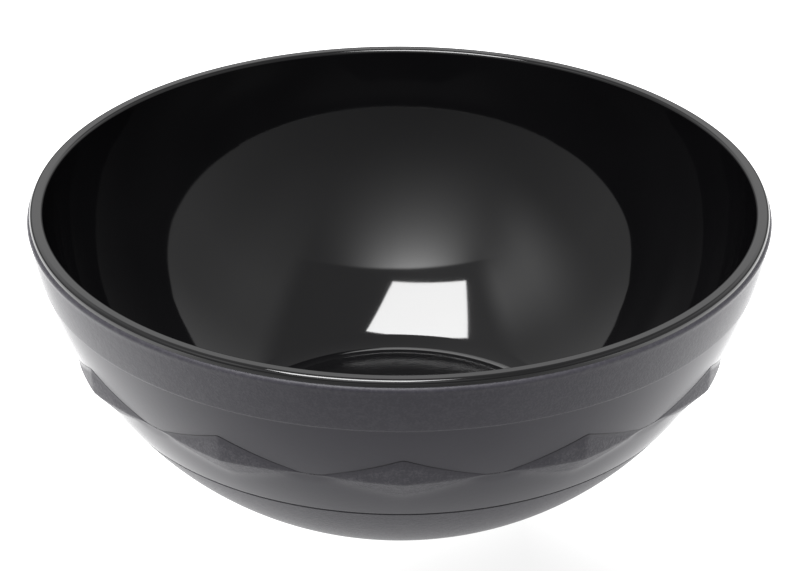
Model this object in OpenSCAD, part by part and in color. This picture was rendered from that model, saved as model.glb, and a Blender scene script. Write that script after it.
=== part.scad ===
// Salon tint bowl: one moulded bowl with a polished inside and a textured outside,
// and a rubber ring pressed into a groove under its foot.
// Millimetres, +Z up. The origin is on the bowl's axis, at the surface that it stands on.

/* [Bowl] */
// Outside diameter of the polished rim
rim_d = 130; // [105:1:160]
// Height from the table to the top of the rim
height = 55; // [45:0.5:68]
// Thickness of the wall, square to its surface
wall = 2; // [1.5:0.1:3]
// How much thicker the wall is at the rim
rim_extra = 0.6; // [0:0.05:1.2]
// How far below the rim's top the extra thickness has faded out
rim_taper = 25; // [15:0.5:30]
// Thickness of the floor under the flat inside disc
floor_t = 2.4; // [1.6:0.1:3.2]
// Height of the inside floor above the table
floor_z = 6.3; // [5.5:0.1:9]
// Radius of the blend between the inside floor and the wall
floor_blend = 10; // [3:0.5:16]

/* [Wall shape] */
// How far the wall's upper curve handle leans in from the rim
wall_lean = 4.6; // [2:0.1:8]
// How far the wall's upper curve handle drops from the rim
wall_drop = 32; // [18:0.1:34]
// How far the wall's lower curve handle runs out from the foot
foot_run = 14; // [10:0.1:22]
// How far the wall's lower curve handle rises from the foot
foot_rise = 5.2; // [4:0.1:9]
// Number of straight steps along the curved wall
wall_steps = 44; // [20:1:60]

/* [Rim] */
// Depth of the polished rim, from its top to the textured wall
rim_depth = 1.2; // [0.8:0.1:2]
// How far the textured wall stands outside the polished rim
shoulder = 0.45; // [0.2:0.05:0.8]
// Radius of the rim's outer top edge
rim_round = 0.8; // [0.4:0.05:1]
// Radius of the rim's inner top edge
inner_round = 0.65; // [0.3:0.05:0.9]
// How far the inside leans in just under the rim
rim_lip = 0.3; // [0:0.05:0.5]
// Depth over which the inside leans in under the rim
lip_depth = 8; // [4:0.5:12]

/* [Bands] */
// Distance from the rim's top to the lower edge of the textured upper band
band_drop = 10.2; // [6:0.1:14]
// How far the upper band stands proud of the wall below it
band_proud = 0.2; // [0.1:0.05:0.4]
// Distance from the rim's top to the line above the textured base
base_line_drop = 32.8; // [28:0.1:36]
// Height of the line above the textured base
base_line_w = 0.5; // [0.3:0.1:1]
// Depth of the line above the textured base
base_line_d = 0.25; // [0.1:0.05:0.4]

/* [Faceted belt] */
// Number of sides of the belt
belt_sides = 12; // [8:1:12]
// Distance from the rim's top to the belt's widest line
belt_drop = 22.1; // [18:0.1:25]
// How far the middle of each side lies inside the wall
belt_sunk = 0.18; // [0.1:0.01:0.4]
// How far the corners stand outside the middles of the sides
belt_rise = 1.9; // [1.2:0.1:2.4]
// How each side runs from its middle to a corner: 2 is nearly flat, and 1 is the most bowed
belt_bow = 1.1; // [1:0.1:2]
// Outward lean of the belt's upper faces, in degrees
belt_lean = 3.8; // [2:0.1:7]
// How far inside the wall the belt's lower corners end
belt_bury = 1; // [0.5:0.1:2]

/* [Foot and ring] */
// Outside radius of the foot
foot_r = 26.5; // [23:0.1:32]
// Height of the foot's straight side
foot_side = 0.7; // [0.4:0.1:1.5]
// Radius of the foot's lower outer edge
foot_round = 0.4; // [0.2:0.05:0.6]
// Width of the flat land under the foot, round the shallow recess
foot_land = 7.8; // [7:0.1:12]
// Width of the rubber ring
ring_w = 3; // [2:0.1:4]
// Depth of the ring's groove in the foot
groove_d = 2; // [1.2:0.1:2.4]
// How far the rubber ring stands below the foot
ring_proud = 0.8; // [0.5:0.1:1.5]
// Radius of the rubber ring's lower edges
ring_round = 0.6; // [0.3:0.1:0.9]
// Gap on each side of the rubber ring in its groove
ring_gap = 0.05; // [0:0.01:0.2]

/* [Hidden] */
$fn = 96;
rim_r = rim_d / 2;
foot_z = ring_proud;                      // underside of the foot
recess_r = foot_r - foot_land;            // edge of the shallow recess inside the foot
ring_r = foot_r - foot_land / 2;          // middle of the rubber ring, and of the foot's land
band_z = height - band_drop;              // lower edge of the upper band
base_line_z = height - base_line_drop;    // middle of the line above the base
belt_z = height - belt_drop;              // widest line of the belt
shoulder_z = height - rim_depth;          // top of the textured wall
recess_top = floor_z - floor_t;           // underside of the floor
arc_steps = 8;                            // straight steps in a small rounded edge
blend_steps = 14;                         // straight steps in the floor's blend
belt_steps = 4;                           // straight steps from the middle of a side to a corner
clear = 5;                                // how far a cutting shape runs past what it cuts
core_over = 1;                            // how far the groove's core runs past its cutting shape
halvings = 30;                            // how closely a point on the wall's curve is found

// The wall's outer curve, from the rim (t = 0) to the foot (t = 1), as radius and height
wall_from = [rim_r + shoulder, height];
wall_out = [rim_r + shoulder - wall_lean, height - wall_drop];
wall_in = [foot_r + foot_run, foot_z + foot_side + foot_rise];
wall_to = [foot_r, foot_z + foot_side];

function wall_point(t) = pow(1 - t, 3) * wall_from + 3 * pow(1 - t, 2) * t * wall_out
    + 3 * (1 - t) * t * t * wall_in + pow(t, 3) * wall_to;

function wall_heading(t) = pow(1 - t, 2) * (wall_out - wall_from)
    + 2 * (1 - t) * t * (wall_in - wall_out) + t * t * (wall_to - wall_in);

// Outward direction, square to the curve
function wall_normal(t) = let (h = wall_heading(t)) [-h[1], h[0]] / norm(h);

// A point of the curve moved outwards, or inwards where out is negative
function wall_offset(t, out) = wall_point(t) + out * wall_normal(t);

// Where the moved curve passes the height z, found by halving
function wall_t(z, out = 0, low = 0, high = 1, left = halvings) =
    left == 0 ? (low + high) / 2
    : let (mid = (low + high) / 2)
        wall_offset(mid, out)[1] > z ? wall_t(z, out, mid, high, left - 1)
        : wall_t(z, out, low, mid, left - 1);

function wall_r(z) = wall_offset(wall_t(z), 0)[0];

t_taper = wall_t(height - rim_taper);
t_lip = wall_t(height - lip_depth);

// Thickness of the wall at a place on its curve
function thickness(t) = wall + rim_extra * pow(max(0, 1 - t / t_taper), 2)
    + rim_lip * pow(max(0, 1 - t / t_lip), 2);

// Places on the curve between two others, in even steps
function wall_places(t_a, t_b) =
    let (steps = max(2, ceil(wall_steps * abs(t_b - t_a))))
        [for (i = [0:steps]) t_a + (t_b - t_a) * i / steps];

function wall_run(t_a, t_b, out = 0) = [for (t = wall_places(t_a, t_b)) wall_offset(t, out)];

function inside_run(t_a, t_b) = [for (t = wall_places(t_a, t_b)) wall_offset(t, -thickness(t))];

// Points of an arc round a centre, from one angle to another
function arc(centre, r, from, to, steps) =
    [for (i = [0:steps]) let (a = from + (to - from) * i / steps) centre + r * [cos(a), sin(a)]];

// Where the inside curve leaves the floor's blend, and the middle of that blend
t_blend = wall_t(floor_z + floor_blend, -wall - floor_blend);
blend_centre = wall_offset(t_blend, -wall - floor_blend);
blend_to = atan2(wall_normal(t_blend)[1], wall_normal(t_blend)[0]);

// Places on the outer curve where the bands change
t_base_low = wall_t(base_line_z - base_line_w / 2);
t_base_high = wall_t(base_line_z + base_line_w / 2);
t_base_mid = wall_t(base_line_z);
t_band = wall_t(band_z);
t_shoulder = wall_t(shoulder_z, band_proud);
belt_mid = wall_r(belt_z) - belt_sunk;    // radius of the belt's widest line, at the middle of a side

// Half of the bowl's outside, solid to the axis
module outside_profile() {
    polygon(concat(
        [[0, foot_z], [foot_r - foot_round, foot_z]],
        arc([foot_r - foot_round, foot_z + foot_round], foot_round, -90, 0, arc_steps),
        wall_run(1, t_base_low),
        [wall_offset(t_base_mid, -base_line_d)],
        wall_run(t_base_high, t_band),
        wall_run(wall_t(band_z + band_proud, band_proud), t_shoulder, band_proud),
        [[rim_r, shoulder_z]],
        arc([rim_r - rim_round, height - rim_round], rim_round, 0, 90, arc_steps),
        [[0, height]]
    ));
}

// Half of the bowl's inside, from the axis to the polished wall
module inside_profile() {
    inner_r = wall_offset(0, -thickness(0))[0];
    polygon(concat(
        [[0, floor_z]],
        arc(blend_centre, floor_blend, -90, blend_to, blend_steps),
        inside_run(t_blend, wall_t(height - inner_round, -thickness(0))),
        arc([inner_r + inner_round, height - inner_round], inner_round, 180, 90, arc_steps),
        [[inner_r + inner_round, height + clear], [0, height + clear]]
    ));
}

// The belt's plan at its widest line, scaled: its corners stand out from its bowed sides
function belt_plan(scaled) =
    let (half = 180 / belt_sides)
        [for (i = [0:2 * belt_sides * belt_steps - 1])
            let (turn = i * half / belt_steps,
                 away = abs((turn + half) % (2 * half) - half) / half,
                 r = scaled * (belt_mid + belt_rise * pow(1 - away, belt_bow)))
            r * [cos(turn - 90), sin(turn - 90)]];

// The belt as one closed solid: its lower corners end inside the wall, and so does its whole top
module belt() {
    low_z = base_line_z + base_line_w;
    low_scale = (wall_r(low_z) - belt_bury) / (belt_mid + belt_rise);
    top_scale = 1 + (band_z - belt_z) * tan(belt_lean) / belt_mid;
    rings = [[low_scale, low_z], [1, belt_z], [top_scale, band_z]];
    count = 2 * belt_sides * belt_steps;
    points = [for (ring = rings) for (p = belt_plan(ring[0])) [p[0], p[1], ring[1]]];
    underneath = [for (i = [0:count - 1]) i];
    top = [for (i = [3 * count - 1:-1:2 * count]) i];
    sides = [for (low = [0, count]) for (i = [0:count - 1])
        let (next = (i + 1) % count)
            [low + i, low + count + i, low + count + next, low + next]];
    polyhedron(points, concat([underneath], sides, [top]));
}

module bowl_body() {
    color("#3c3b40")
        difference() {
            union() {
                rotate_extrude() outside_profile();
                belt();
            }
            rotate_extrude() inside_profile();
            // the shallow recess inside the foot
            translate([0, 0, foot_z - clear])
                cylinder(h = recess_top - foot_z + clear, r = recess_r);
            // the groove that holds the rubber ring
            translate([0, 0, foot_z - clear])
                difference() {
                    cylinder(h = groove_d + clear, r = ring_r + ring_w / 2 + ring_gap);
                    translate([0, 0, -core_over])
                        cylinder(h = groove_d + clear + 2 * core_over, r = ring_r - ring_w / 2 - ring_gap);
                }
        }
}

// The ring fills the groove up to its roof and stands below the foot on rounded edges
module non_slip_ring() {
    low = foot_z - ring_proud;
    high = foot_z + groove_d;
    inner = ring_r - ring_w / 2;
    outer = ring_r + ring_w / 2;
    color("#232325")
        rotate_extrude()
            polygon(concat(
                [[inner, high]],
                arc([inner + ring_round, low + ring_round], ring_round, 180, 270, arc_steps),
                arc([outer - ring_round, low + ring_round], ring_round, 270, 360, arc_steps),
                [[outer, high]]
            ));
}

bowl_body();
non_slip_ring();
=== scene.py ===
"""Salon tint bowl: the looks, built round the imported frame.

A black moulded bowl, polished inside and mould-textured outside, on a rubber ring.
Names that end in _MM are millimetres. What goes to Blender is in metres.
"""

import math

import bpy
import numpy as np
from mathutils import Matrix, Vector


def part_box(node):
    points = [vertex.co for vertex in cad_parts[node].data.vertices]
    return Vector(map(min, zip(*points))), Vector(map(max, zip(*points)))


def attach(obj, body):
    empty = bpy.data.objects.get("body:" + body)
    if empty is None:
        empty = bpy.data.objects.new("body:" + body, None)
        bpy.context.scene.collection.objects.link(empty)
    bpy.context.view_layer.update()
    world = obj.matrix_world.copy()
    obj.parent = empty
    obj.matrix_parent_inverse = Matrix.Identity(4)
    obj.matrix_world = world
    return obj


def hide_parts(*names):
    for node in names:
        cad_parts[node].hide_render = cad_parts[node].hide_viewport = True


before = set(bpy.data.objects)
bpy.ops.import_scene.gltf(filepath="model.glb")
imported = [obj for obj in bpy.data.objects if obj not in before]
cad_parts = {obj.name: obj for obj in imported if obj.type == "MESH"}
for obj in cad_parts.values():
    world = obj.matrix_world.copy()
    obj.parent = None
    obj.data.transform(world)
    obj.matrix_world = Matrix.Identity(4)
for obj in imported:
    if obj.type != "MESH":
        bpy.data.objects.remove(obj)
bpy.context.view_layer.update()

MM = 0.001
BODY_LOW, BODY_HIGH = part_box("bowl_body")
RING_LOW, RING_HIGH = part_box("non_slip_ring")

# ---------------------------------------------------------------- the bowl's sizes

RIM_TOP_MM = BODY_HIGH.z / MM
FOOT_Z_MM = BODY_LOW.z / MM
SHOULDER_MM = 0.45                          # the textured wall stands this far outside the rim
RIM_R_MM = max(BODY_HIGH.x, BODY_HIGH.y) / MM - SHOULDER_MM

WALL_MM = 2.0
RIM_EXTRA_MM = 0.6                          # the wall thickens by this much at the rim
RIM_TAPER_MM = 25.0
WALL_LEAN_MM, WALL_DROP_MM = 4.6, 32.0      # upper handle of the wall's curve
FOOT_RUN_MM, FOOT_RISE_MM = 14.0, 5.2       # lower handle of the wall's curve
FOOT_SIDE_MM = 0.7
FOOT_R_MM = 26.5
FOOT_LAND_MM = 7.8
FOOT_ROUND_MM = 0.4
FLOOR_Z_MM, FLOOR_T_MM, FLOOR_BLEND_MM = 6.3, 2.4, 10.0
FLOOR_DULL_R_MM, FLOOR_DULL_RISE_MM = 31.0, 0.4   # inside this radius and height the floor is duller
FLOOR_DULL_FADE_MM = 2.5                    # and fully so this much further in
RECESS_ROUND_MM = 0.6
GATE_DIMPLE_MM = [(0, 0.35), (1.2, 0.35), (1.6, 0.25), (1.9, 0)]   # radius and depth of its outline

RIM_DEPTH_MM = 1.2
RIM_ROUND_MM = 0.8
INNER_ROUND_MM = 0.65
LIP_MM, LIP_DEPTH_MM = 0.3, 8.0             # the inside leans in by this much just under the rim
SHOULDER_ROUND_MM, SHOULDER_TILT = 0.8, math.radians(56)   # a rounded edge, then a chamfer
BAND_DROP_MM, BAND_PROUD_MM = 10.2, 0.2
STEP_LOW_MM, STEP_H_MM = 0.15, 0.33         # the band's step starts this far below its line
BASE_LINE_DROP_MM, BASE_LINE_W_MM, BASE_LINE_D_MM = 32.8, 0.5, 0.25
CREASE_W_MM, CREASE_D_MM = 0.22, 0.1        # the fine line along the belt's upper edge
CREASE_ROWS = np.array([-1, -0.45, 0, 0.45])    # across it, from its lower edge, in half widths
CREASE_ROW_DEPTHS = np.array([0, 0.8, 1, 0.8])
CREASE_CORNER_PART = 0.65                   # how much of its depth it loses between the corners

BELT_SIDES = 12
BELT_DROP_MM, BELT_SUNK_MM, BELT_RISE_MM, BELT_BURY_MM = 22.1, 0.18, 1.9, 1.0
BELT_BOW = 1.1                              # 2 would be flat sides, and 1 is the most bowed
BELT_LEAN = math.radians(3.8)
BELT_SOFT_MM = 0.08                         # how softly the belt's upper and lower faces meet
BELT_MERGE_MM = 0.18                        # how softly its lower faces run into the wall
RIDGE_TURN = math.radians(0.35)             # half the width of the ridge at a corner
LOW_RIDGE_TURN = math.radians(2.2)          # the same below the widest line, where it is softer

GROOVE_D_MM = 2.0
GROOVE_EDGE_MM = 0.2                        # rounding of the edges round the groove and recess
RING_W_MM = 3.0
RING_GAP_MM = 0.05
RING_ROUND_MM, RING_TOP_ROUND_MM = 0.6, 0.15
GRIP_W_MM, GRIP_D_MM, GRIP_APART_MM = 0.22, 0.12, 0.4   # the ring's two fine grip lines

BAND_Z_MM = RIM_TOP_MM - BAND_DROP_MM
BASE_LINE_Z_MM = RIM_TOP_MM - BASE_LINE_DROP_MM
BELT_Z_MM = RIM_TOP_MM - BELT_DROP_MM
BELT_LOW_Z_MM = BASE_LINE_Z_MM + BASE_LINE_W_MM
SHOULDER_Z_MM = RIM_TOP_MM - RIM_DEPTH_MM
RECESS_TOP_MM = FLOOR_Z_MM - FLOOR_T_MM
RECESS_R_MM = FOOT_R_MM - FOOT_LAND_MM
RING_R_MM = FOOT_R_MM - FOOT_LAND_MM / 2
SIDE_TURN = math.pi / BELT_SIDES            # from a corner of the belt to the middle of a side

# Finishes of the bowl's zones, as the numbers that its faces carry
POLISHED, MOULDED = 0, 1

# How much mould texture each zone of the outside carries
BASE_GRAIN, BASE_LINE_GRAIN, UNDERSIDE_GRAIN = 1.0, 0.6, 0.7
SATIN_GRAIN, BAND_GRAIN, CREASE_GRAIN = 0.12, 0.75, 0.5
BELT_GRAIN, BELT_GRAIN_MM = 1.5, 0.5        # added where the belt stands this far out of the wall


# ---------------------------------------------------------------- the wall's curve

def wall_handles():
    """The four points of the wall's outer curve, from the rim to the foot."""
    top = np.array([RIM_R_MM + SHOULDER_MM, RIM_TOP_MM])
    foot = np.array([FOOT_R_MM, FOOT_Z_MM + FOOT_SIDE_MM])
    upper = top - [WALL_LEAN_MM, WALL_DROP_MM]
    lower = foot + [FOOT_RUN_MM, FOOT_RISE_MM]
    return top, upper, lower, foot


def wall_curve(t):
    """Points of the outer curve at t, and the directions square to it that point outwards."""
    t = np.atleast_1d(np.asarray(t, float))[:, None]
    a, b, c, d = wall_handles()
    s = 1 - t
    point = s**3 * a + 3 * s * s * t * b + 3 * s * t * t * c + t**3 * d
    heading = s * s * (b - a) + 2 * s * t * (c - b) + t * t * (d - c)
    out = np.stack([-heading[:, 1], heading[:, 0]], 1)
    return point, out / np.linalg.norm(out, axis=1)[:, None]


CURVE_T = np.linspace(0, 1, 4001)
CURVE_POINT, CURVE_OUT = wall_curve(CURVE_T)


def wall_t(z, moved=0.0):
    """Where the curve, moved outwards by so much, passes the height z."""
    height = (CURVE_POINT + moved * CURVE_OUT)[:, 1]
    return np.interp(-np.asarray(z, float), -height, CURVE_T)


def wall_at(z, moved=0.0):
    """Points of the moved curve at the heights z."""
    point, out = wall_curve(wall_t(z, moved))
    return point + moved * out


def wall_r(z):
    return wall_at(z)[:, 0]


def thickness(t):
    t_taper, t_lip = wall_t(RIM_TOP_MM - RIM_TAPER_MM), wall_t(RIM_TOP_MM - LIP_DEPTH_MM)
    taper, lip = np.clip(1 - t / t_taper, 0, None) ** 2, np.clip(1 - t / t_lip, 0, None) ** 2
    return WALL_MM + RIM_EXTRA_MM * taper + LIP_MM * lip


def arc(centre, radius, start, end, steps):
    """Points of an arc, with its angles in degrees."""
    a = np.radians(np.linspace(start, end, steps + 1))
    return np.array(centre) + radius * np.stack([np.cos(a), np.sin(a)], 1)


# ---------------------------------------------------------------- the belt

def side_r(z, turn):
    """Radius of the belt at the heights z, at an angle from its corner."""
    middle = wall_r(BELT_Z_MM)[0] - BELT_SUNK_MM
    low = (wall_r(BELT_LOW_Z_MM)[0] - BELT_BURY_MM) * middle / (middle + BELT_RISE_MM)
    down = (BELT_Z_MM - z) / (BELT_Z_MM - BELT_LOW_Z_MM)
    upper = 1 + (z - BELT_Z_MM) * math.tan(BELT_LEAN) / middle
    lower = 1 - down * (1 - low / middle)
    soft = BELT_SOFT_MM / middle
    scale = (upper + lower) / 2 - np.sqrt(((upper - lower) / 2) ** 2 + soft**2) + soft
    ridge = RIDGE_TURN + (LOW_RIDGE_TURN - RIDGE_TURN) * np.clip(down * 2.5, 0, 1)
    away = np.hypot(turn, ridge) / SIDE_TURN
    return scale * (middle + BELT_RISE_MM * np.clip(1 - away, 0, 1) ** BELT_BOW)


def belt_top(turn):
    """Height at which the belt's upper face comes out of the wall."""
    z = np.linspace(BELT_Z_MM, BAND_Z_MM, 1201)
    proud = side_r(z, turn) - wall_r(z)
    return z[np.argmax(proud < 0)]


def belt_r(z, turn, top):
    """Radius of the outside between the base line and the belt's upper edge."""
    wall, side = wall_r(z), side_r(z, turn)
    soft = BELT_MERGE_MM * np.clip((top - z) / (4 * CREASE_W_MM) - 1, 0, 1)
    return (wall + side) / 2 + np.sqrt(((wall - side) / 2) ** 2 + soft**2)


# ---------------------------------------------------------------- the outline

def underside():
    """From the axis out over the recess, the foot's land and the ring's groove to the foot's edge."""
    low, edge = FOOT_Z_MM, GROOVE_EDGE_MM
    groove_in = RING_R_MM - RING_W_MM / 2 - RING_GAP_MM
    groove_out = RING_R_MM + RING_W_MM / 2 + RING_GAP_MM
    roof = low + GROOVE_D_MM
    return np.vstack([
        [[radius, RECESS_TOP_MM + depth] for radius, depth in GATE_DIMPLE_MM],
        [[radius, RECESS_TOP_MM] for radius in (2.1, 6, 12)],
        arc([RECESS_R_MM - RECESS_ROUND_MM, RECESS_TOP_MM - RECESS_ROUND_MM], RECESS_ROUND_MM, 90, 0, 5),
        arc([RECESS_R_MM + edge, low + edge], edge, 180, 270, 4),
        [[groove_in - edge, low]],
        arc([groove_in - edge, low + edge], edge, -90, 0, 4)[1:],
        [[groove_in, roof], [groove_out, roof]],
        arc([groove_out + edge, low + edge], edge, 180, 270, 4),
        [[FOOT_R_MM - FOOT_ROUND_MM, low]],
        arc([FOOT_R_MM - FOOT_ROUND_MM, low + FOOT_ROUND_MM], FOOT_ROUND_MM, -90, 0, 6)[1:],
    ])


def base():
    """The textured base, from the foot to the line above it."""
    below = BASE_LINE_Z_MM - BASE_LINE_W_MM / 2
    # Close rows under the line keep its edge sharp
    t = np.linspace(1, wall_t(below - 0.15), 20)
    return np.vstack([wall_curve(t)[0], wall_at([below - 0.05, below])])


def base_line():
    """The thin line above the base, deepest in the middle."""
    middle = wall_at(BASE_LINE_Z_MM, -BASE_LINE_D_MM)
    part = 0.6                              # its sides, as parts of its half width and of its depth
    side_z = np.array([-part, part]) * BASE_LINE_W_MM / 2 + BASE_LINE_Z_MM
    side = wall_at(side_z, -BASE_LINE_D_MM * part)
    return np.vstack([side[:1], middle, side[1:]])


def belt(turn):
    """From the base line over the belt to the fine line along its upper edge."""
    low = BASE_LINE_Z_MM + BASE_LINE_W_MM / 2
    top = belt_top(turn)
    line = CREASE_ROWS * CREASE_W_MM / 2 + top
    corner = (1 - turn / SIDE_TURN) ** 2
    depth = CREASE_D_MM * (1 - CREASE_CORNER_PART + CREASE_CORNER_PART * corner)
    upper = np.array([0.1, 0.2, 0.35, 0.5, 0.65, 0.8, 0.92, 1])   # from the widest line to the fine line
    rows = np.concatenate([
        [low, low + 0.06, low + 0.25],
        np.linspace(low + 0.9, BELT_Z_MM - 0.9, 11),
        BELT_Z_MM + np.array([-0.55, -0.3, -0.12, 0]),
        BELT_Z_MM + (line[0] - 0.05 - BELT_Z_MM) * upper,
        line,
    ])
    radius = belt_r(rows, turn, top)
    radius[-len(line):] -= depth * CREASE_ROW_DEPTHS
    return np.stack([radius, rows], 1)


def satin_band(turn):
    """The smoother wall between the belt and the upper band."""
    low = belt_top(turn) + CREASE_W_MM / 2
    rows = np.concatenate([
        [low, low + 0.06],
        np.linspace(low + 0.3, BAND_Z_MM - 0.7, 9),
        BAND_Z_MM - np.array([0.45, 0.3]),
    ])
    return wall_at(rows)


def upper_band():
    """The textured band, from its lower edge to the shoulder below the rim."""
    proud = BAND_PROUD_MM
    rise = np.linspace(0, 1, 9)
    moved = proud * (3 - 2 * rise) * rise**2
    step_z = BAND_Z_MM - STEP_LOW_MM + STEP_H_MM * rise
    low = np.vstack([wall_at(z, out_by) for z, out_by in zip(step_z, moved)])
    # Above the band's rounded edge, a narrow chamfer leads up to the side of the rim
    edge_r = RIM_R_MM + SHOULDER_MM
    round_end = edge_r - SHOULDER_ROUND_MM * (1 - math.cos(SHOULDER_TILT))
    chamfer_h = (round_end - RIM_R_MM) / math.tan(SHOULDER_TILT)
    rise_z = chamfer_h + SHOULDER_ROUND_MM * math.sin(SHOULDER_TILT)
    centre = np.array([edge_r - SHOULDER_ROUND_MM, SHOULDER_Z_MM - rise_z])
    t = np.linspace(wall_t(BAND_Z_MM + 0.6, proud), wall_t(centre[1] - 0.3, proud), 12)
    point, out = wall_curve(t)
    edge = arc(centre, SHOULDER_ROUND_MM, 4, math.degrees(SHOULDER_TILT), 6)
    return np.vstack([low, point + proud * out, edge, [[RIM_R_MM, SHOULDER_Z_MM]]])


def rim():
    """The polished rim: its side, its outer edge, its flat land and its inner edge."""
    inner_r = wall_curve(0)[0][0, 0] - thickness(0.0)
    side_low = SHOULDER_Z_MM + 0.02
    outer = RIM_R_MM - RIM_ROUND_MM
    inner = inner_r + INNER_ROUND_MM
    return np.vstack([
        [[RIM_R_MM, side_low], [RIM_R_MM, side_low + 0.06]],
        arc([outer, RIM_TOP_MM - RIM_ROUND_MM], RIM_ROUND_MM, 0, 90, 8),
        [[outer - 0.08, RIM_TOP_MM], [inner + 0.08, RIM_TOP_MM]],
        arc([inner, RIM_TOP_MM - INNER_ROUND_MM], INNER_ROUND_MM, 90, 180, 7),
    ])


def inside():
    """The polished inside, from under the rim down the wall and over the blend to the axis."""
    reach = WALL_MM + FLOOR_BLEND_MM
    t_blend = float(wall_t(FLOOR_Z_MM + FLOOR_BLEND_MM, -reach))
    start = float(wall_t(RIM_TOP_MM - 2 * INNER_ROUND_MM, -WALL_MM))
    t = np.linspace(start, t_blend, 40)
    point, out = wall_curve(t)
    wall = point - thickness(t)[:, None] * out
    blend_point, blend_out = wall_curve(t_blend)
    centre = (blend_point - reach * blend_out)[0]
    tilt = math.degrees(math.atan2(blend_out[0, 1], blend_out[0, 0]))
    blend = arc(centre, FLOOR_BLEND_MM, tilt, -90, 18)
    disc = centre[0] * np.linspace(1, 0, 8)[1:]
    return np.vstack([wall, blend[1:], np.stack([disc, np.full(len(disc), FLOOR_Z_MM)], 1)])


def outline(turn):
    """The whole outline at an angle from the belt's corner, with each row's finish, grain and line.

    Finish belongs to the band of faces above a row. Grain is how much mould texture a row carries,
    or inside the bowl how dull it is, and line is 1 along the fine lines, where painted shade darkens the
    colour.
    """
    whole_belt = belt(turn)
    belt_rows = len(whole_belt) - len(CREASE_ROWS)
    faces, crease = whole_belt[:belt_rows], whole_belt[belt_rows:]
    belt_z = faces[:, 1]
    proud = np.clip((side_r(belt_z, turn) - wall_r(belt_z)) / BELT_GRAIN_MM, 0, 1)
    near = 1 - turn / SIDE_TURN
    hollow = inside()
    on_floor = hollow[:, 1] < FLOOR_Z_MM + FLOOR_DULL_RISE_MM
    dull = np.clip(on_floor * (FLOOR_DULL_R_MM - hollow[:, 0]) / FLOOR_DULL_FADE_MM, 0, 1)
    parts = [
        (underside(), MOULDED, UNDERSIDE_GRAIN, 0),
        (base(), MOULDED, BASE_GRAIN, 0),
        (base_line(), MOULDED, BASE_LINE_GRAIN, 1),
        (faces, MOULDED, SATIN_GRAIN + BELT_GRAIN * proud, 0),
        # painted shade along the crease, strongest near the belt's corners
        (crease, MOULDED, CREASE_GRAIN, 0.45 + 0.55 * near),
        (satin_band(turn), MOULDED, SATIN_GRAIN, 0),
        (upper_band(), MOULDED, BAND_GRAIN, 0),
        (rim(), POLISHED, 0, 0),
        (hollow, POLISHED, dull, 0),
    ]
    points = np.vstack([p for p, _, _, _ in parts])
    finish = np.concatenate([np.full(len(p), f) for p, f, _, _ in parts])
    grain = np.concatenate([np.broadcast_to(g, len(p)) for p, _, g, _ in parts])
    line = np.concatenate([np.broadcast_to(v, len(p)) for p, _, _, v in parts])
    return points, finish, grain, line


# ---------------------------------------------------------------- one side of the bowl as a mesh

def side_turns():
    """Angles across one side of the belt, from corner to corner, closer together at its corners."""
    fine = np.radians([0, 0.05, 0.1, 0.16, 0.24, 0.36, 0.6])
    half = np.concatenate([fine, np.linspace(math.radians(1.2), SIDE_TURN, 12)])
    return np.concatenate([half, 2 * SIDE_TURN - half[-2::-1]])


def grid_mesh(name, turns, columns):
    """A mesh of rows and columns turned about +Z, from -Y onwards, with its rows' values stored on it."""
    n_row, n_col = len(columns[0][0]), len(turns)
    points = np.zeros((n_col, n_row, 3))
    for k, (turn, column) in enumerate(zip(turns, columns)):
        radius, height = column[0][:, 0] * MM, column[0][:, 1] * MM
        points[k] = np.stack([radius * math.sin(turn), -radius * math.cos(turn), height], 1)
    index = np.arange(n_col * n_row).reshape(n_col, n_row)
    low, high = index[:, :-1], index[:, 1:]
    quads = np.stack([low[:-1], low[1:], high[1:], high[:-1]], -1).reshape(-1, 4)
    mesh = bpy.data.meshes.new(name)
    mesh.from_pydata(points.reshape(-1, 3).tolist(), [], quads.tolist())
    finish = np.tile(columns[0][1][:-1], n_col - 1).astype(np.int32)
    mesh.attributes.new("finish", "INT", "FACE").data.foreach_set("value", finish)
    for attribute, place in (("grain", 2), ("line", 3)):
        values = np.concatenate([c[place] for c in columns]).astype(np.float32)
        mesh.attributes.new(attribute, "FLOAT", "POINT").data.foreach_set("value", values)
    return mesh


def bowl_side():
    turns = side_turns()
    columns = [outline(min(turn, 2 * SIDE_TURN - turn)) for turn in turns]
    return grid_mesh("bowl_side", turns, columns)


def ring_outline():
    """The rubber ring's section, from its roof's inner edge down and round, with two fine grip lines."""
    low, high = RING_LOW.z / MM, RING_HIGH.z / MM
    inner, outer = RING_R_MM - RING_W_MM / 2, RING_R_MM + RING_W_MM / 2
    top_round = RING_TOP_ROUND_MM
    grip = []
    for middle in (RING_R_MM - GRIP_APART_MM, RING_R_MM + GRIP_APART_MM):
        grip += [[middle - GRIP_W_MM, low], [middle - GRIP_W_MM / 2, low + GRIP_D_MM],
                 [middle + GRIP_W_MM / 2, low + GRIP_D_MM], [middle + GRIP_W_MM, low]]
    points = np.vstack([
        [[RING_R_MM, high], [inner + top_round, high]],
        arc([inner + top_round, high - top_round], top_round, 90, 180, 3)[1:],
        arc([inner + RING_ROUND_MM, low + RING_ROUND_MM], RING_ROUND_MM, 180, 270, 7),
        grip,
        arc([outer - RING_ROUND_MM, low + RING_ROUND_MM], RING_ROUND_MM, 270, 360, 7),
        arc([outer - top_round, high - top_round], top_round, 0, 90, 3),
        [[RING_R_MM, high]],
    ])
    count = len(points)
    return points, np.zeros(count), np.ones(count), np.zeros(count)


def ring_side():
    turns = np.linspace(0, 2 * SIDE_TURN, 25)
    return grid_mesh("ring_side", turns, [ring_outline()] * len(turns))


# ---------------------------------------------------------------- node trees

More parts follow.
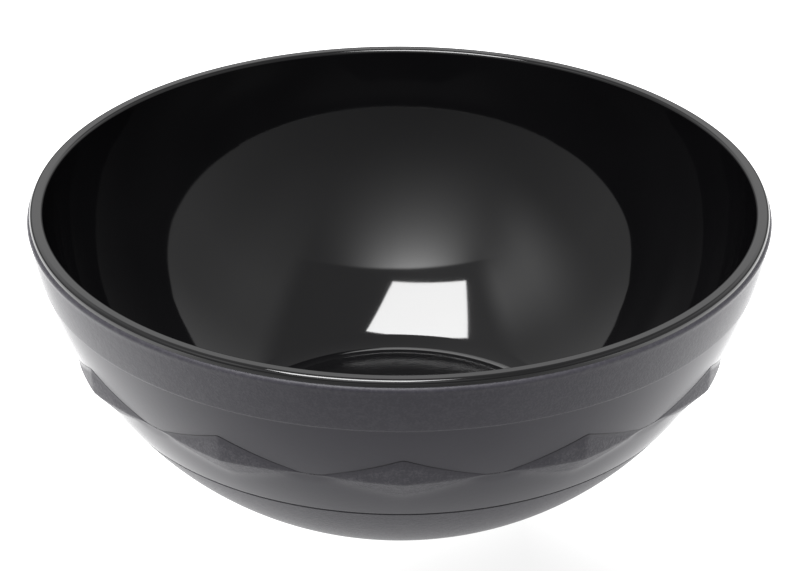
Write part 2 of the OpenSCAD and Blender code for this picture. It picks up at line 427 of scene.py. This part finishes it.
class Tree:
    """Adds nodes to a tree, with values or sockets given as inputs by name or place."""

    def __init__(self, tree):
        self.tree = tree

    def add(self, kind, inputs=None, out=0, **settings):
        node = self.tree.nodes.new(kind)
        for key, value in settings.items():
            setattr(node, key, value)
        for key, value in (inputs or {}).items():
            self.plug(node.inputs[key], value)
        return node.outputs[out] if out is not None else node

    def plug(self, socket, value):
        if isinstance(value, bpy.types.NodeSocket):
            self.tree.links.new(value, socket)
        else:
            socket.default_value = value

    def math(self, operation, a, b=0.0):
        return self.add("ShaderNodeMath", {0: a, 1: b}, operation=operation)

    def steps(self, value, low, high, to_low=0.0, to_high=1.0, smooth=True):
        """value taken from one range to another, held at its ends."""
        ranges = {"Value": value, "From Min": low, "From Max": high, "To Min": to_low, "To Max": to_high}
        kind = "SMOOTHSTEP" if smooth else "LINEAR"
        return self.add("ShaderNodeMapRange", ranges, interpolation_type=kind)

    def noise(self, where, scale, detail):
        """Noise at a scale of so many grains a metre."""
        return self.add("ShaderNodeTexNoise", {"Vector": where, "Scale": scale, "Detail": detail})

    def bump(self, height, distance):
        """A normal that follows the height, at full strength, over so many metres."""
        return self.add("ShaderNodeBump", {"Height": height, "Strength": 1.0, "Distance": distance})


def new_group(name, kind, inputs, outputs):
    """A node group with the named sockets, and its tree, input node and output node."""
    group = bpy.data.node_groups.new(name, kind)
    for socket, socket_type, value in inputs:
        made = group.interface.new_socket(name=socket, in_out="INPUT", socket_type=socket_type)
        if value is not None:
            made.default_value = value
    for socket, socket_type in outputs:
        group.interface.new_socket(name=socket, in_out="OUTPUT", socket_type=socket_type)
    tree = Tree(group)
    return group, tree, tree.add("NodeGroupInput", out=None), tree.add("NodeGroupOutput", out=None)


def turning_tree():
    """Repeats one side round +Z, closes the seams and poles, and gives each zone its finish."""
    group, tree, given, result = new_group(
        "sides_round_the_axis", "GeometryNodeTree",
        [("Side", "NodeSocketGeometry", None), ("Sides", "NodeSocketInt", BELT_SIDES),
         ("Seam Gap", "NodeSocketFloat", 1e-7), ("Polished", "NodeSocketMaterial", None),
         ("Moulded", "NodeSocketMaterial", None)],
        [("Bowl", "NodeSocketGeometry")])
    places = tree.add("GeometryNodePoints", {"Count": given.outputs["Sides"]})
    step = tree.math("DIVIDE", 2 * math.pi, given.outputs["Sides"])
    turn = tree.math("MULTIPLY", tree.add("GeometryNodeInputIndex"), step)
    turned = tree.add("ShaderNodeCombineXYZ", {"Z": turn})
    sides = tree.add("GeometryNodeInstanceOnPoints",
                     {"Points": places, "Instance": given.outputs["Side"], "Rotation": turned})
    whole = tree.add("GeometryNodeRealizeInstances", {"Geometry": sides})
    closed = tree.add("GeometryNodeMergeByDistance",
                      {"Geometry": whole, "Distance": given.outputs["Seam Gap"]})
    smooth = tree.add("GeometryNodeSetShadeSmooth", {"Geometry": closed, "Shade Smooth": True})
    finish = tree.add("GeometryNodeInputNamedAttribute", {"Name": "finish"}, data_type="INT")
    for name, number in (("Polished", POLISHED), ("Moulded", MOULDED)):
        chosen = tree.add("FunctionNodeCompare", {2: finish, 3: number},
                          data_type="INT", operation="EQUAL")
        smooth = tree.add("GeometryNodeSetMaterial",
                          {"Geometry": smooth, "Selection": chosen, "Material": given.outputs[name]})
    tree.plug(result.inputs["Bowl"], smooth)
    return group


def turned_piece(name, side, tree, polished, moulded):
    """Runs the tree on one side and returns the whole piece as a plain mesh object."""
    maker = bpy.data.objects.new(name + "_maker", side)
    bpy.context.scene.collection.objects.link(maker)
    modifier = maker.modifiers.new("turn", "NODES")
    modifier.node_group = tree
    sockets = {s.name: s.identifier for s in tree.interface.items_tree if s.in_out == "INPUT"}
    modifier[sockets["Sides"]] = BELT_SIDES
    modifier[sockets["Polished"]] = polished
    modifier[sockets["Moulded"]] = moulded
    graph = bpy.context.evaluated_depsgraph_get()
    mesh = bpy.data.meshes.new_from_object(maker.evaluated_get(graph))
    mesh.name = name
    bpy.data.objects.remove(maker)
    piece = bpy.data.objects.new(name, mesh)
    bpy.context.scene.collection.objects.link(piece)
    return piece


# ---------------------------------------------------------------- materials

def mould_grain_group():
    """Fine spark-eroded mould texture: its height, and a speckle that lightens its high spots."""
    group, tree, given, result = new_group(
        "mould_grain", "ShaderNodeTree",
        [("Grain Size", "NodeSocketFloat", 0.0004), ("Amount", "NodeSocketFloat", 1.0)],
        [("Height", "NodeSocketFloat"), ("Speckle", "NodeSocketFloat")])
    where = tree.add("ShaderNodeTexCoord", out="Object")
    scale = tree.math("DIVIDE", 1.0, given.outputs["Grain Size"])
    fine = tree.add("ShaderNodeTexNoise",
                    {"Vector": where, "Scale": scale, "Detail": 3.0, "Roughness": 0.6})
    coarse = tree.noise(where, tree.math("MULTIPLY", scale, 0.37), 1.0)
    mixed = tree.math("ADD", tree.math("MULTIPLY", fine, 0.7), tree.math("MULTIPLY", coarse, 0.3))
    amount = given.outputs["Amount"]
    height, high_spots = tree.steps(mixed, 0.3, 0.7), tree.steps(mixed, 0.42, 0.66)
    tree.plug(result.inputs["Height"], tree.math("MULTIPLY", height, amount))
    tree.plug(result.inputs["Speckle"], tree.math("MULTIPLY", high_spots, amount))
    return group


def soft_variation_group():
    """Slow unevenness of a moulded surface, such as flow and handling leave."""
    group, tree, given, result = new_group(
        "soft_variation", "ShaderNodeTree",
        [("Patch Size", "NodeSocketFloat", 0.02), ("Low", "NodeSocketFloat", 0.9),
         ("High", "NodeSocketFloat", 1.1)],
        [("Value", "NodeSocketFloat")])
    where = tree.add("ShaderNodeTexCoord", out="Object")
    scale = tree.math("DIVIDE", 1.0, given.outputs["Patch Size"])
    noise = tree.noise(where, scale, 2.0)
    value = tree.steps(noise, 0.3, 0.7, given.outputs["Low"], given.outputs["High"], smooth=False)
    tree.plug(result.inputs["Value"], value)
    return group


# Colours of the plastic and the rubber, from their darkest spots to their lightest
POLISHED_DARK, POLISHED_LIGHT = (0.0028, 0.0027, 0.0031, 1), (0.0040, 0.0039, 0.0044, 1)
MOULDED_DARK, MOULDED_LIGHT = (0.0135, 0.0120, 0.0205, 1), (0.0800, 0.0770, 0.0880, 1)
RUBBER_DARK, RUBBER_LIGHT = (0.012, 0.012, 0.0125, 1), (0.032, 0.031, 0.03, 1)


def new_material(name, **constant):
    """A material with a Principled surface whose constant values are set straight on it."""
    material = bpy.data.materials.new(name)
    material.use_nodes = True
    surface = material.node_tree.nodes["Principled BSDF"]
    for key, value in constant.items():
        surface.inputs[key.replace("_", " ")].default_value = value
    return material, Tree(material.node_tree), surface


def group_node(tree, group, inputs):
    node = tree.add("ShaderNodeGroup", out=None, node_tree=group)
    for key, value in inputs.items():
        tree.plug(node.inputs[key], value)
    return node


def tinted(tree, value, low, high):
    """A colour between low and high."""
    return tree.add("ShaderNodeMix", {0: value, 6: low, 7: high}, out=2, data_type="RGBA")


def polished_black(variation):
    """The mirror-polished black plastic inside and on the rim."""
    material, tree, surface = new_material("polished_black_plastic", IOR=1.5)
    where = tree.add("ShaderNodeTexCoord", out="Object")
    slow = group_node(tree, variation, {"Patch Size": 0.03, "Low": 0.0, "High": 1.0}).outputs[0]
    tree.plug(surface.inputs["Base Color"], tinted(tree, slow, POLISHED_DARK, POLISHED_LIGHT))
    dull = tree.add("ShaderNodeAttribute", attribute_name="grain", out="Fac")
    mirror = tree.steps(slow, 0, 1, 0.028, 0.05, smooth=False)
    tree.plug(surface.inputs["Roughness"], tree.math("ADD", mirror, tree.math("MULTIPLY", dull, 0.12)))
    ripple_size = 0.006
    ripple = tree.noise(where, 1 / ripple_size, 1.0)
    tree.plug(surface.inputs["Normal"], tree.bump(ripple, 2.5e-6))
    return material


def moulded_black(grain_group, variation):
    """The outside: one black plastic whose mould texture is coarse, fine or nearly absent by zone."""
    material, tree, surface = new_material("moulded_black_plastic", IOR=1.5)
    zone = tree.add("ShaderNodeAttribute", attribute_name="grain", out="Fac")
    line = tree.add("ShaderNodeAttribute", attribute_name="line", out="Fac")
    grain = group_node(tree, grain_group, {"Grain Size": 0.00042, "Amount": zone})
    slow = group_node(tree, variation, {"Patch Size": 0.024, "Low": 0.0, "High": 1.0}).outputs[0]
    speckle = tree.math("MULTIPLY", grain.outputs["Speckle"], 0.26)
    even = tree.math("MULTIPLY", tree.math("ADD", zone, slow), 0.12)
    light = tree.math("ADD", speckle, even)
    plain = tinted(tree, light, MOULDED_DARK, MOULDED_LIGHT)
    # Painted shade: the colour is darkened along the fine lines
    shade = tree.math("SUBTRACT", 1.0, tree.math("MULTIPLY", line, 0.55))
    colour = tree.add("ShaderNodeVectorMath", {0: plain, 3: shade}, operation="SCALE")
    tree.plug(surface.inputs["Base Color"], colour)
    rough = tree.steps(zone, 0, 1, 0.40, 0.52, smooth=False)
    rough = tree.math("ADD", rough, tree.math("MULTIPLY", slow, 0.03))
    # Seen at a shallow angle, the fine texture hides and the surface looks glossier
    facing = tree.add("ShaderNodeLayerWeight", {"Blend": 0.5}, out="Facing")
    hidden = tree.steps(zone, 0.75, 1.2, 0.6, 0.2, smooth=False)
    shallow = tree.math("MULTIPLY", tree.math("POWER", facing, 4.0), hidden)
    rough = tree.math("MULTIPLY", rough, tree.math("SUBTRACT", 1.0, shallow))
    tree.plug(surface.inputs["Roughness"], rough)
    tree.plug(surface.inputs["Normal"], tree.bump(grain.outputs["Height"], 3.2e-5))
    return material


def ring_rubber(grain_group, variation):
    """Dull black rubber with a fine, dusty unevenness."""
    material, tree, surface = new_material("ring_rubber", IOR=1.5)
    grain = group_node(tree, grain_group, {"Grain Size": 0.0003, "Amount": 1.0})
    slow = group_node(tree, variation, {"Patch Size": 0.006, "Low": 0.0, "High": 1.0}).outputs[0]
    dust = tree.math("MULTIPLY", slow, grain.outputs["Speckle"])
    tree.plug(surface.inputs["Base Color"], tinted(tree, dust, RUBBER_DARK, RUBBER_LIGHT))
    tree.plug(surface.inputs["Roughness"], tree.steps(slow, 0, 1, 0.72, 0.86, smooth=False))
    tree.plug(surface.inputs["Normal"], tree.bump(grain.outputs["Height"], 1.5e-5))
    return material


# ---------------------------------------------------------------- the studio

CAMERA_TURN = math.radians(-0.8)
CAMERA_TILT = math.radians(28.39)
CAMERA_ROLL = 0.0031
CAMERA_AWAY = 9.09 * RIM_R_MM * MM
LENS_MM, SENSOR_MM = 147.66, 36.0
AIM_RIGHT = 0.0101 * RIM_R_MM * MM
AIM_Z = (RIM_TOP_MM - 0.2736 * RIM_R_MM) * MM

FLOOR_HALF = 3.0
FLOOR_WHITE_PLACE, FLOOR_WHITE_FROM, FLOOR_WHITE_TO = (0, -0.12, 0), 0.2, 0.4

SOFTBOX_PLACE = (-0.1245, -0.214, 1.0)
SOFTBOX_TURN = (math.radians(-15.5), math.radians(-13.8), math.radians(-11.7))
SOFTBOX_WIDTH, SOFTBOX_DEPTH = 0.47, 0.455
SOFTBOX_RADIANCE = 21.0


def add_camera():
    back = Vector((math.sin(CAMERA_TURN) * math.cos(CAMERA_TILT),
                   -math.cos(CAMERA_TURN) * math.cos(CAMERA_TILT), math.sin(CAMERA_TILT)))
    right = Vector((math.cos(CAMERA_TURN), math.sin(CAMERA_TURN), 0))
    aim = right * AIM_RIGHT + Vector((0, 0, AIM_Z))
    data = bpy.data.cameras.new("camera")
    data.lens, data.sensor_width = LENS_MM, SENSOR_MM
    data.clip_start, data.clip_end = 0.01, 20
    camera = bpy.data.objects.new("camera", data)
    camera.location = aim + back * CAMERA_AWAY
    turned = back.to_track_quat("Z", "Y").to_matrix().to_4x4()
    camera.rotation_euler = turned.to_euler()
    camera.rotation_euler.rotate_axis("Z", CAMERA_ROLL)
    bpy.context.scene.collection.objects.link(camera)
    bpy.context.scene.camera = camera


def add_floor():
    """A white table top that glows evenly round the bowl and falls off towards the camera."""
    size = FLOOR_HALF
    mesh = bpy.data.meshes.new("floor")
    corners = [(-size, -size, 0), (size, -size, 0), (size, size, 0), (-size, size, 0)]
    mesh.from_pydata(corners, [], [(0, 1, 2, 3)])
    material, tree, surface = new_material("white_table", Base_Color=(0.1, 0.1, 0.1, 1), Roughness=0.9)
    surface.inputs["Specular IOR Level"].default_value = 0.0
    surface.inputs["Emission Color"].default_value = (1, 1, 1, 1)
    where = tree.add("ShaderNodeTexCoord", out="Object")
    aside, ahead = (tree.add("ShaderNodeSeparateXYZ", {0: where}, out=k) for k in (0, 1))
    # The dim part is a wedge in front of the bowl, which widens away from it
    left = tree.math("MULTIPLY", aside, -0.7)
    right = tree.math("SUBTRACT", tree.math("MULTIPLY", aside, 0.9), 0.035)
    back = tree.math("ADD", ahead, tree.math("MAXIMUM", left, right))
    near, far = tree.steps(back, -0.18, -0.02, 0.36, 0.93), tree.steps(back, -0.05, 0.06, 0.0, 1.27)
    # Further out in front, the table is white again
    away = tree.add("ShaderNodeVectorMath", {0: where, 1: FLOOR_WHITE_PLACE}, out="Value",
                    operation="DISTANCE")
    light = tree.math("MAXIMUM", tree.math("ADD", near, far),
                      tree.steps(away, FLOOR_WHITE_FROM, FLOOR_WHITE_TO))
    tree.plug(surface.inputs["Emission Strength"], light)
    mesh.materials.append(material)
    floor = bpy.data.objects.new("floor", mesh)
    bpy.context.scene.collection.objects.link(floor)


def add_softbox():
    """The overhead softbox, a little towards the camera and to its left."""
    data = bpy.data.lights.new("softbox", "AREA")
    data.shape, data.size, data.size_y = "RECTANGLE", SOFTBOX_WIDTH, SOFTBOX_DEPTH
    data.energy = SOFTBOX_RADIANCE * math.pi * SOFTBOX_WIDTH * SOFTBOX_DEPTH
    softbox = bpy.data.objects.new("softbox", data)
    softbox.location = SOFTBOX_PLACE
    softbox.rotation_euler = SOFTBOX_TURN
    bpy.context.scene.collection.objects.link(softbox)


def add_surroundings():
    """A white light tent round the bowl: a dim roof, lit walls below its edges, and a dark gap behind.

    Directions are (x, y, z) with +Y behind the bowl. A place on a wall is given by how high and how
    far along it is, each divided by how far away the wall is.
    """
    world = bpy.data.worlds.new("studio")
    world.use_nodes = True
    bpy.context.scene.world = world
    tree = Tree(world.node_tree)
    direction = tree.add("ShaderNodeTexCoord", out="Generated")
    x, y, z = (tree.add("ShaderNodeSeparateXYZ", {0: direction}, out=k) for k in range(3))

    def times(*values):
        total = values[0]
        for value in values[1:]:
            total = tree.math("MULTIPLY", total, value)
        return total

    def plus(*values):
        total = values[0]
        for value in values[1:]:
            total = tree.math("ADD", total, value)
        return total

    def mixed(part, a, b):
        return tree.add("ShaderNodeMix", {0: part, 2: a, 3: b})

    def bell(value, middle, width):
        """1 at the middle, falling off as a bell curve."""
        away = tree.math("DIVIDE", tree.math("SUBTRACT", value, middle), width)
        return tree.math("EXPONENT", times(away, away, -0.5))

    least = 0.02                            # keeps the divisions clear of zero
    height = tree.math("MAXIMUM", z, least)
    side = tree.math("DIVIDE", x, height)
    ahead = tree.math("DIVIDE", y, height)
    width = tree.math("MAXIMUM", tree.math("ABSOLUTE", x), least)
    depth = tree.math("MAXIMUM", tree.math("ABSOLUTE", y), least)

    # Even light of the walls, at the sides, towards the camera and behind
    front_wall = tree.steps(y, -1.0, -0.15, 0.25, 0.56, smooth=False)
    back_wall = tree.steps(z, 0.16, 0.45, 0.26, 1.2)
    walls = mixed(tree.steps(y, 0.1, 0.75), front_wall, back_wall)

    # The roof, inside its four edges
    roof = times(tree.steps(side, -0.62, -0.5), tree.steps(side, 0.84, 0.62),
                 tree.steps(ahead, -0.575, -0.555), tree.steps(ahead, 1.6, 1.2))
    roof_light = mixed(tree.steps(side, -0.3, 0.3), 0.55, 0.40)
    even = mixed(roof, walls, roof_light)

    # Light that spills from the softbox on to the walls
    front_strength, left_strength, right_strength = 1.37, 0.97, 0.15
    up_front = tree.math("MINIMUM", tree.math("DIVIDE", height, depth), 1.8)
    along_front = tree.math("DIVIDE", x, depth)
    front_glow = times(tree.math("POWER", up_front, 2.5), front_strength, bell(along_front, -0.18, 0.35),
                       tree.steps(ahead, -0.56, -0.585))
    up_side, along_side = tree.math("DIVIDE", height, width), tree.math("DIVIDE", y, width)
    left_glow = times(tree.steps(up_side, 0.5, 1.05), left_strength,
                      bell(along_side, -0.42, 0.36), tree.steps(side, -0.48, -0.66))
    right_glow = times(tree.steps(up_side, 0.4, 1.0), right_strength,
                       bell(along_side, -0.25, 0.7), tree.steps(side, 0.6, 0.82))

    background = world.node_tree.nodes["Background"]
    tree.plug(background.inputs["Strength"], plus(even, front_glow, left_glow, right_glow))
    background.inputs["Color"].default_value = (1, 1, 1, 1)


# ---------------------------------------------------------------- the object

grain_group = mould_grain_group()
variation_group = soft_variation_group()
polished = polished_black(variation_group)
moulded = moulded_black(grain_group, variation_group)
rubber = ring_rubber(grain_group, variation_group)
turning = turning_tree()

bowl = turned_piece("moulded_bowl", bowl_side(), turning, polished, moulded)
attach(bowl, "root")
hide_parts("bowl_body")

ring = turned_piece("rubber_ring", ring_side(), turning, rubber, rubber)
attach(ring, "root")
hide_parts("non_slip_ring")

add_camera()
add_floor()
add_softbox()
add_surroundings()
bpy.context.scene.view_settings.view_transform = "Standard"
